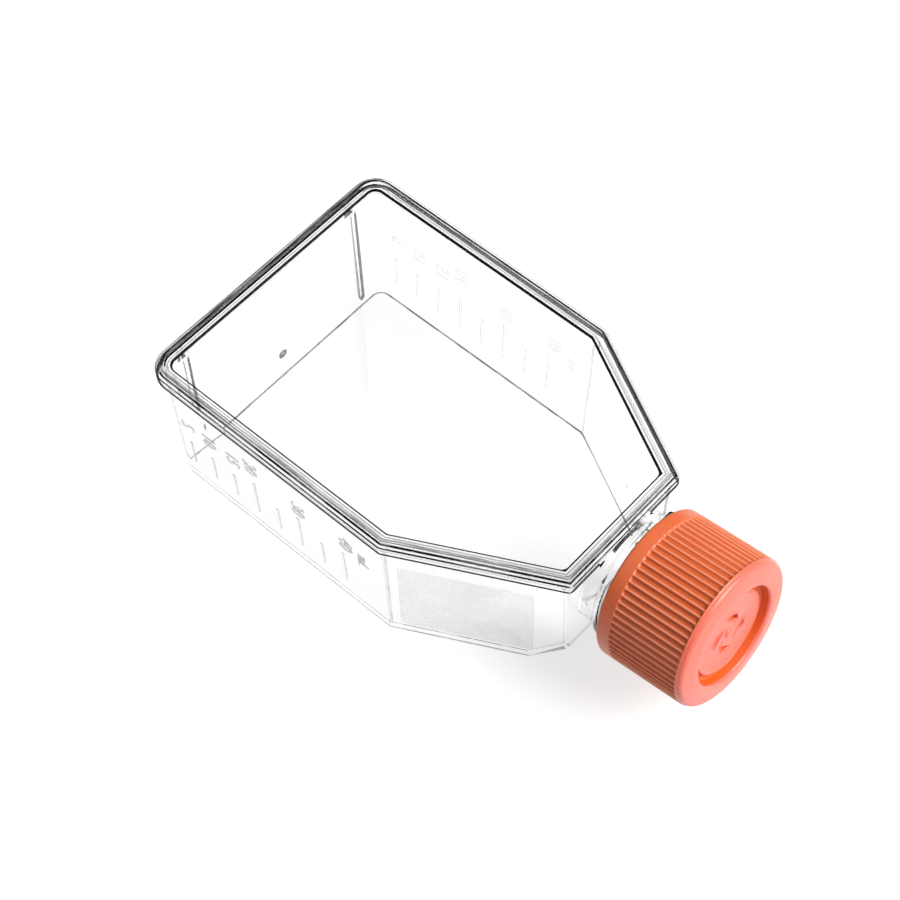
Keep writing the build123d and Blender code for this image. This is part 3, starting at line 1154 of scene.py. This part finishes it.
def straight(start: Place, end: Place, count: int) -> np.ndarray:
    """Points evenly along a line, without its last one."""
    t = np.arange(count)[:, None] / count
    return (1.0 - t) * np.array(start) + t * np.array(end)


def rounding(centre: Place, radius: float, start: float, end: float, count: int) -> np.ndarray:
    """Points along a circular arc between two angles in degrees, without its last one.

    Args:
        centre: Middle of the arc.
        radius: Its radius.
        start: First angle.
        end: Last angle.
        count: Number of points.

    Returns:
        The points, each centre + radius (cos angle, sin angle).
    """
    angle = np.radians(start + (end - start) * np.arange(count) / count)
    return np.array(centre) + radius * np.stack([np.cos(angle), np.sin(angle)], axis=1)


def solid_grid(
    rows: np.ndarray, first_pole: np.ndarray, last_pole: np.ndarray
) -> tuple[np.ndarray, list[np.ndarray]]:
    """Joins rings of points into one closed skin.

    Each ring's points are joined to the next ring's by four-sided faces, and the first and last ring
    to a point each by three-sided faces.

    Args:
        rows: Rings of points, as (rings, points, 3).
        first_pole: The point that closes the first ring.
        last_pole: The point that closes the last ring.

    Returns:
        The points as (n, 3) and the faces as arrays of corner numbers.
    """
    rings, around = rows.shape[:2]
    number = np.arange(rings * around).reshape(rings, around)
    here, there = number[:-1], number[1:]
    quads = np.stack([here, np.roll(here, -1, 1), np.roll(there, -1, 1), there], axis=-1).reshape(-1, 4)
    top, bottom = rings * around, rings * around + 1
    first, last = number[0], number[-1]
    cap_first = np.stack([np.roll(first, -1), first, np.full(around, top)], axis=1)
    cap_last = np.stack([last, np.roll(last, -1), np.full(around, bottom)], axis=1)
    points = np.concatenate([rows.reshape(-1, 3), first_pole[None], last_pole[None]])
    return points, [quads, cap_first, cap_last]


def skin(name: str, points: np.ndarray, faces: list[np.ndarray], smooth: bool = True) -> bpy.types.Object:
    """Makes an object from points in metres and faces of corner numbers.

    Args:
        name: The piece's name.
        points: Points as (n, 3).
        faces: Arrays of corner numbers, each with one face a row.
        smooth: Whether the faces are shaded smooth.

    Returns:
        The new object, in the scene.
    """
    mesh = bpy.data.meshes.new(name)
    mesh.vertices.add(len(points))
    mesh.vertices.foreach_set("co", np.ascontiguousarray(points, np.float32).ravel())
    corners = np.concatenate([part.ravel() for part in faces])
    sizes = np.concatenate([np.full(len(part), part.shape[1]) for part in faces])
    mesh.loops.add(len(corners))
    mesh.loops.foreach_set("vertex_index", corners.astype(np.int32))
    mesh.polygons.add(len(sizes))
    mesh.polygons.foreach_set("loop_start", (np.cumsum(sizes) - sizes).astype(np.int32))
    mesh.polygons.foreach_set("use_smooth", np.full(len(sizes), smooth))
    mesh.update(calc_edges=True)
    mesh.validate()
    piece = bpy.data.objects.new(name, mesh)
    bpy.context.scene.collection.objects.link(piece)
    return piece


def flip_if_inside_out(piece: bpy.types.Object) -> None:
    """Turns every face round if the volume that they enclose comes out negative.

    Args:
        piece: A closed piece.
    """
    work = bmesh.new()
    work.from_mesh(piece.data)
    if work.calc_volume(signed=True) < 0.0:
        bmesh.ops.reverse_faces(work, faces=work.faces)
        work.to_mesh(piece.data)
    work.free()


# ---------------------------------------------------------------- marks on the walls


@dataclass(frozen=True)
class VolumeNumbers:
    """The raised numbers beside the volume lines of one long wall.

    Args:
        side: 1 for the wall on +Y, -1 for the one on -Y.
        height: Height of a digit.
        unit_share: Height of the unit's letters, as a share of a digit's.
        narrow: Breadth of the font, as a share of its own.
        relief: How far the numbers stand out.
        gap: Clear distance from the wall.
        unit: The unit's letters.
        words: Each word, its distance from the rear face and its height above the table.
    """

    side: int
    height: float = 2.7
    unit_share: float = 0.75
    narrow: float = 0.82
    relief: float = 0.14
    gap: float = 0.012
    unit: str = "mL"
    words: tuple[tuple[str, float, float], ...] = (
        ("5", 6.5, 15.7),
        ("10", 11.0, 15.7),
        ("15", 15.9, 15.8),
        ("20", 19.8, 17.6),
        ("30", 29.3, 16.0),
        ("40", 38.9, 16.9),
        ("mL", 42.3, 15.6),
    )

    def word(self, text: str) -> tuple[np.ndarray, list[np.ndarray]]:
        """Turns one word into a flat solid centred on 0, with its letters one unit tall.

        Args:
            text: The word.

        Returns:
            Its points as (right, up, out) and its faces.
        """
        curve = bpy.data.curves.new("word", "FONT")
        curve.body = text
        curve.extrude = 0.5
        curve.resolution_u = 5
        holder = bpy.data.objects.new("word", curve)
        bpy.context.scene.collection.objects.link(holder)
        mesh = bpy.data.meshes.new_from_object(holder.evaluated_get(bpy.context.evaluated_depsgraph_get()))
        tidy = bmesh.new()
        tidy.from_mesh(mesh)
        bmesh.ops.remove_doubles(tidy, verts=tidy.verts, dist=1e-5)
        bmesh.ops.triangulate(tidy, faces=tidy.faces)
        bmesh.ops.recalc_face_normals(tidy, faces=tidy.faces)
        points = np.array([vertex.co[:] for vertex in tidy.verts])
        faces = np.array([[vertex.index for vertex in face.verts] for face in tidy.faces])
        tidy.free()
        bpy.data.objects.remove(holder)
        bpy.data.curves.remove(curve)
        bpy.data.meshes.remove(mesh)
        low, high = points.min(0), points.max(0)
        points = (points - (low + high) / 2.0) / (high[1] - low[1])
        points[:, 2] = np.sign(points[:, 2]) * 0.5
        return points, [faces]

    def build(self) -> bpy.types.Object:
        """Builds every number of the wall as one piece.

        Each number reads from outside with its top towards the neck, and follows the wall's lean:
        y = side (half width - foot inset + lean z + way out of the wall).

        Returns:
            The piece.
        """
        points, faces, start = [], [], 0
        for text, along, rise in self.words:
            local, corners = self.word(text)
            tall = self.height * (self.unit_share if text == self.unit else 1.0)
            x = along - PLAN.half_length + local[:, 1] * tall
            z = rise + self.side * local[:, 0] * tall * self.narrow
            out = self.gap + (local[:, 2] + 0.5) * self.relief
            y = self.side * (PLAN.half_width - PLAN.foot_inset + PLAN.lean * z + out)
            points.append(np.stack([x, y, z], axis=1) * MM)
            faces.append(corners[0] + start)
            start += len(local)
        piece = skin("numbers_far" if self.side > 0 else "numbers_near", np.concatenate(points), faces, False)
        flip_if_inside_out(piece)
        # Painted shade: the numbers are tinted grey, and darken on their edges like the clear plastic.
        number = ClearPlastic("moulded_number", ShadeLines.NONE, clear=grey(0.89), edge_radius=0.00012)
        piece.data.materials.append(number.material())
        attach(piece, "flask")
        return piece


@dataclass(frozen=True)
class WritingPanel:
    """The etched patch on the near shoulder, as a thin sheet on the wall.

    Args:
        begin: Distance along the shoulder from the side to the patch.
        finish: The same to its far end.
        foot: Height of its lower edge.
        head: Height of its upper edge.
        corner: Radius of its corners.
        gap: Clear distance from the wall.
        thickness: Thickness of the sheet.
    """

    begin: float = 2.2
    finish: float = 22.3
    foot: float = 2.8
    head: float = 20.0
    corner: float = 0.5
    gap: float = 0.012
    thickness: float = 0.03

    def build(self) -> bpy.types.Object:
        """Builds the sheet: a rounded rectangle whose two faces and edge are closed.

        In plan, a place s along the shoulder and d out of the wall lies at (shoulder start, half width)
        + s (out y, -out x) + (d - foot inset + lean z) (out x, out y), and is then mirrored to -Y.

        Returns:
            The piece.
        """
        wide, tall = (self.finish - self.begin) / 2.0, (self.head - self.foot) / 2.0
        arcs = [
            rounding((x * (wide - self.corner), z * (tall - self.corner)), self.corner, turn, turn + 90.0, 6)
            for x, z, turn in ((1, 1, 0.0), (-1, 1, 90.0), (-1, -1, 180.0), (1, -1, 270.0))
        ]
        edge = np.concatenate(arcs)
        outline = np.concatenate([edge, np.zeros((1, 2))])
        along = outline[:, 0] + (self.finish + self.begin) / 2.0
        rise = outline[:, 1] + (self.head + self.foot) / 2.0
        out_x, out_y = PLAN.shoulder_out
        layers = []
        for gap in (self.gap, self.gap + self.thickness):
            out = gap - PLAN.foot_inset + PLAN.lean * rise
            x = PLAN.shoulder_start + out_y * along + out_x * out
            y = -(PLAN.half_width - out_x * along + out_y * out)
            layers.append(np.stack([x, y, rise], axis=1))
        points = np.concatenate(layers) * MM
        count = len(edge)
        here = np.arange(count)
        after = np.roll(here, -1)
        base = count + 1
        under = np.stack([after, here, np.full(count, count)], axis=1)
        over = np.stack([here + base, after + base, np.full(count, count + base)], axis=1)
        around = np.stack([here, after, after + base, here + base], axis=1)
        piece = skin("writing_panel", points, [under, over, around], False)
        flip_if_inside_out(piece)
        piece.data.materials.append(Frosting("frosting").material())
        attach(piece, "flask")
        return piece


# ---------------------------------------------------------------- the cap


@dataclass(frozen=True)
class VentedCap:
    """The ribbed orange screw cap, as one closed skin round the neck's axis.

    Heights are along the neck's axis from the front face of the rim.

    Args:
        axes: The neck's axes.
        start: Height of the open edge.
        end: Height of the closed end.
        radius: Radius of the grip's crests.
        bore: Radius inside, between the threads.
        skirt_round: Rounding of the open edge.
        band: Height of the plain band under the grip.
        rib_count: Number of ribs.
        rib_depth: Depth between them.
        rib_width: Half width of a rib's bell curve.
        shoulder: Rounding of the closed end.
        grip_end: Closed end to the end of the ribs.
        crease: Radius at which the end starts to fall.
        recess: Radius of the recess in the end.
        recess_floor: Height of its floor.
        disc: Radius of the raised disc in it.
        disc_face: Height of the disc's face.
        boss: Radius of the boss in the middle.
        boss_height: How far it stands out of the disc.
        vent_radius: Middle of the disc to the middle of a vent.
        vent_angle: Angle of the first vent round the disc, in degrees.
        vent_length: Half length of a vent.
        vent_width: Half width of a vent.
        vent_lean: Turn of a vent from square, in degrees.
        vent_depth: Depth of a vent.
        vent_bend: Bend of a vent's middle line, sideways way over length squared.
        lip_height: How far a vent's lip stands out of the disc.
        swirl_height: How far the pinwheel lines stand out of it.
        swirl_angle: Angle from a vent to the root of its line, in degrees.
        swirl_turn: How far a line turns for each millimetre outwards, in radians.
        liner: Height of the step round the plug seal.
        plug: Outer radius of the plug seal.
        plug_wall: Its thickness.
        plug_start: Height of its edge.
        membrane_seat: Height of the seat that the membrane lies in.
        lead: Rise of the thread in one turn.
        thread_height: How far the thread stands in.
        thread_start: Height at which it starts.
        thread_turns: Its length in turns.
    """

    axes: NeckAxes
    start: float = 4.6
    end: float = 20.0
    radius: float = 11.98
    bore: float = 10.35
    skirt_round: float = 0.45
    band: float = 2.3
    rib_count: int = 68
    rib_depth: float = 0.42
    rib_width: float = 0.27
    shoulder: float = 0.8
    grip_end: float = 1.3
    crease: float = 9.3
    recess: float = 8.1
    recess_floor: float = 18.45
    disc: float = 7.0
    disc_face: float = 18.8
    boss: float = 0.8
    boss_height: float = 0.28
    vent_radius: float = 2.85
    vent_angle: float = 65.0
    vent_length: float = 1.5
    vent_width: float = 0.5
    vent_lean: float = 22.0
    vent_depth: float = 0.95
    vent_bend: float = 0.16
    lip_height: float = 0.14
    swirl_height: float = 0.09
    swirl_angle: float = 40.0
    swirl_turn: float = 0.42
    liner: float = 16.8
    plug: float = 7.6
    plug_wall: float = 0.74
    plug_start: float = 14.9
    membrane_seat: float = 17.44
    lead: float = 3.6
    thread_height: float = 0.85
    thread_start: float = 8.4
    thread_turns: float = 1.25

    def columns(self) -> np.ndarray:
        """Spaces the skin's columns round the cap, closer together on each rib's crest.

        Returns:
            The angles, in radians.
        """
        step = 2.0 * math.pi / self.rib_count
        inside = np.array([-0.36, -0.22, -0.1, 0.0, 0.1, 0.22, 0.36]) + 0.5
        return ((np.arange(self.rib_count)[:, None] + inside) * step).ravel()

    def outer_profile(self) -> np.ndarray:
        """Draws the outside, from the middle of the disc to the open edge.

        Returns:
            The points, as (radius, height).
        """
        r, end, bend = self.radius, self.end, self.shoulder
        face, floor = self.disc_face, self.recess_floor
        lid = face + self.boss_height
        rim, brow, shelf = self.recess + 0.45, r - 0.15 - bend, end - 0.3
        grip_top, grip_foot = end - self.grip_end, self.start + self.band
        skirt = self.start + self.skirt_round
        parts = [
            straight((0.12, lid), (self.boss - 0.25, lid - 0.03), 3),
            rounding((self.boss - 0.25, lid - 0.23), 0.2, 90.0, 0.0, 4),
            straight((self.boss, face), (4.7, face), 46),
            straight((4.7, face), (self.disc - 0.5, face), 5),
            rounding((self.disc - 0.22, face - 0.06), 0.18, 150.0, -10.0, 7),
            straight((self.disc, floor + 0.12), (self.disc + 0.12, floor), 3),
            straight((self.disc + 0.12, floor), (self.recess - 0.4, floor), 2),
            rounding((self.recess - 0.4, floor + 0.2), 0.2, -90.0, 0.0, 4),
            straight((self.recess - 0.2, floor + 0.2), (self.recess, end - 0.5), 4),
            rounding((rim, end - 0.45), 0.45, 180.0, 90.0, 7),
            straight((rim, end), (self.crease, end - 0.02), 4),
            straight((self.crease, end - 0.02), (brow, shelf), 6),
            rounding((brow, shelf - bend), bend, 84.0, 8.0, 12),
            straight((r - 0.12, shelf - bend), (r - 0.02, grip_top + 0.06), 4),
            straight((r, grip_top), (r, grip_top - 0.32), 8),
            straight((r, grip_top - 0.32), (r, grip_foot + 0.7), 4),
            straight((r, grip_foot + 0.7), (r, grip_foot - 0.1), 7),
            straight((r, grip_foot - 0.1), (r, skirt), 4),
            rounding((r - self.skirt_round, skirt), self.skirt_round, 0.0, -90.0, 6),
        ]
        return np.concatenate(parts)

    def inner_profile(self) -> np.ndarray:
        """Draws the inside, from the open edge to the middle of the membrane's seat.

        Returns:
            The points, as (radius, height).
        """
        bore, liner, plug = self.bore, self.liner, self.plug
        inside, edge, seat = plug - self.plug_wall, self.plug_start, self.membrane_seat
        parts = [
            rounding((bore + 0.3, self.start + 0.3), 0.3, -90.0, -180.0, 4),
            straight((bore, self.start + 0.3), (bore, liner - 0.2), 38),
            straight((bore, liner - 0.2), (bore - 0.2, liner), 2),
            straight((bore - 0.2, liner), (plug + 0.15, liner), 3),
            straight((plug, liner - 0.15), (plug, edge + 0.2), 3),
            straight((plug, edge + 0.2), (plug - 0.2, edge), 2),
            straight((plug - 0.2, edge), (inside + 0.2, edge), 2),
            straight((inside, edge + 0.2), (inside, seat - 0.1), 4),
            straight((inside, seat), (0.2, seat), 6),
        ]
        return np.concatenate(parts)

    def ribbed(self, radius: np.ndarray, height: np.ndarray, angle: np.ndarray) -> np.ndarray:
        """Sinks the grip between the ribs: depth (1 - exp(-(way from the crest / rib width) squared)).

        Args:
            radius: The points' radii.
            height: Their heights.
            angle: Their angles.

        Returns:
            The new radii.
        """
        share = (angle * self.rib_count / (2.0 * math.pi)) % 1.0 - 0.5
        off_crest = share * 2.0 * math.pi * self.radius / self.rib_count
        valley = 1.0 - np.exp(-((off_crest / self.rib_width) ** 2))
        low, high = self.start + self.band, self.end - self.grip_end
        belt = smooth_step(height, low, low + 0.18) * (1.0 - smooth_step(height, high - 0.3, high))
        on_side = radius > self.radius - 0.3
        return radius - self.rib_depth * valley * belt * on_side

    def vented(self, radius: np.ndarray, height: np.ndarray, angle: np.ndarray) -> np.ndarray:
        """Shapes the disc: four leaf-shaped vents with raised lips, and four raised pinwheel lines.

        A leaf is where |wide| / vent width + (long / vent length) squared stays under 1, and its middle
        line bends by vent bend times long squared.

        Args:
            radius: The points' radii.
            height: Their heights.
            angle: Their angles.

        Returns:
            The new heights.
        """
        x, y = radius * np.cos(angle), radius * np.sin(angle)
        lean = math.radians(self.vent_lean)
        shift = np.zeros_like(radius)
        for quarter in range(4):
            turn = math.radians(self.vent_angle + 90.0 * quarter)
            out, across = math.cos(turn), math.sin(turn)
            dx, dy = x - self.vent_radius * out, y - self.vent_radius * across
            radial, tangent = dx * out + dy * across, dy * out - dx * across
            long = tangent * math.cos(lean) + radial * math.sin(lean)
            wide = radial * math.cos(lean) - tangent * math.sin(lean) + self.vent_bend * long**2
            leaf = np.abs(wide) / self.vent_width + (long / self.vent_length) ** 2
            shift -= self.vent_depth * (1.0 - smooth_step(leaf, 0.86, 1.0))
            shift += self.lip_height * smooth_step(leaf, 1.0, 1.1) * (1.0 - smooth_step(leaf, 1.3, 1.6))
            swirl = turn + math.radians(self.swirl_angle) + (radius - 1.2) * self.swirl_turn
            gap = radius * np.abs((angle - swirl + math.pi) % (2.0 * math.pi) - math.pi)
            line = (1.0 - smooth_step(gap, 0.04, 0.13)) * smooth_step(radius, 1.3, 1.5)
            shift += self.swirl_height * line * (1.0 - smooth_step(radius, 4.0, 4.3))
        on_face = (np.abs(height - self.disc_face) < 0.001) & (radius > self.boss) & (radius < 5.0)
        return height + shift * on_face

    def threaded(self, radius: np.ndarray, height: np.ndarray, angle: np.ndarray) -> np.ndarray:
        """Raises the screw thread inside: a rounded ridge where height - start = lead times turns.

        Args:
            radius: The points' radii.
            height: Their heights.
            angle: Their angles.

        Returns:
            The new radii.
        """
        turns = (height - self.thread_start) / self.lead
        off = (turns - angle / (2.0 * math.pi) + 0.5) % 1.0 - 0.5
        wound, last = turns - off, self.thread_turns
        ridge = 1.0 - smooth_step(np.abs(off) * self.lead, 0.3, 0.78)
        ends = smooth_step(wound, 0.0, 0.08) * (1.0 - smooth_step(wound, last - 0.08, last))
        on_wall = np.abs(radius - self.bore) < 0.001
        return radius - self.thread_height * ridge * ends * on_wall

    def build(self) -> bpy.types.Object:
        """Builds the whole cap.

        Returns:
            The cap's object.
        """
        angle = self.columns()[None, :]
        outside, inside = self.outer_profile(), self.inner_profile()
        r, s = (np.repeat(outside[:, k : k + 1], angle.size, 1) for k in (0, 1))
        outer_r, outer_s = self.ribbed(r, s, angle), self.vented(r, s, angle)
        r, s = (np.repeat(inside[:, k : k + 1], angle.size, 1) for k in (0, 1))
        inner_r, inner_s = self.threaded(r, s, angle), s
        r, s = np.concatenate([outer_r, inner_r]), np.concatenate([outer_s, inner_s])
        rows = self.axes.place(r * np.cos(angle), r * np.sin(angle), s)
        middle = np.zeros(1)
        top = self.axes.place(middle, middle, middle + self.disc_face + self.boss_height)[0]
        seat = self.axes.place(middle, middle, middle + self.membrane_seat)[0]
        points, faces = solid_grid(rows, top, seat)
        piece = skin("vented_cap", points, [part[:, ::-1] for part in faces])
        grip = (self.start + self.band + 0.05, self.end - self.grip_end)
        ring = (self.disc + 0.05, self.recess + 0.12)
        sizes = (self.radius, self.rib_depth, self.disc_face, grip, ring)
        piece.data.materials.append(CapPlastic("cap_plastic", self.axes, *sizes).material())
        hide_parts("cap")
        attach(piece, "screw_cap")
        return piece


# ---------------------------------------------------------------- assembly


def main() -> None:
    """Builds the studio and each sub-assembly in order, and reports each piece."""
    logging.basicConfig(level=logging.INFO, format="%(name)s: %(message)s")
    Viewpoint().place()
    Studio().build()
    dress("flask_body", ClearPlastic("clear_polystyrene", ShadeLines.TUB).material())
    dress("top_plate", ClearPlastic("clear_plate", ShadeLines.PLATE).material())
    dress("vent_membrane", PorousFilm("membrane").material())
    for side in (-1, 1):
        VolumeNumbers(side).build()
    WritingPanel().build()
    turn = next(joint for joint in frame["joints"] if joint["name"] == "cap_turn")
    axes = NeckAxes(tuple(turn["pos_m"]), tuple(turn["axis"]))
    VentedCap(axes).build()
    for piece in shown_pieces():
        LOG.info("%s: %d faces", piece.name, len(piece.data.polygons))


if __name__ == "__main__":
    main()
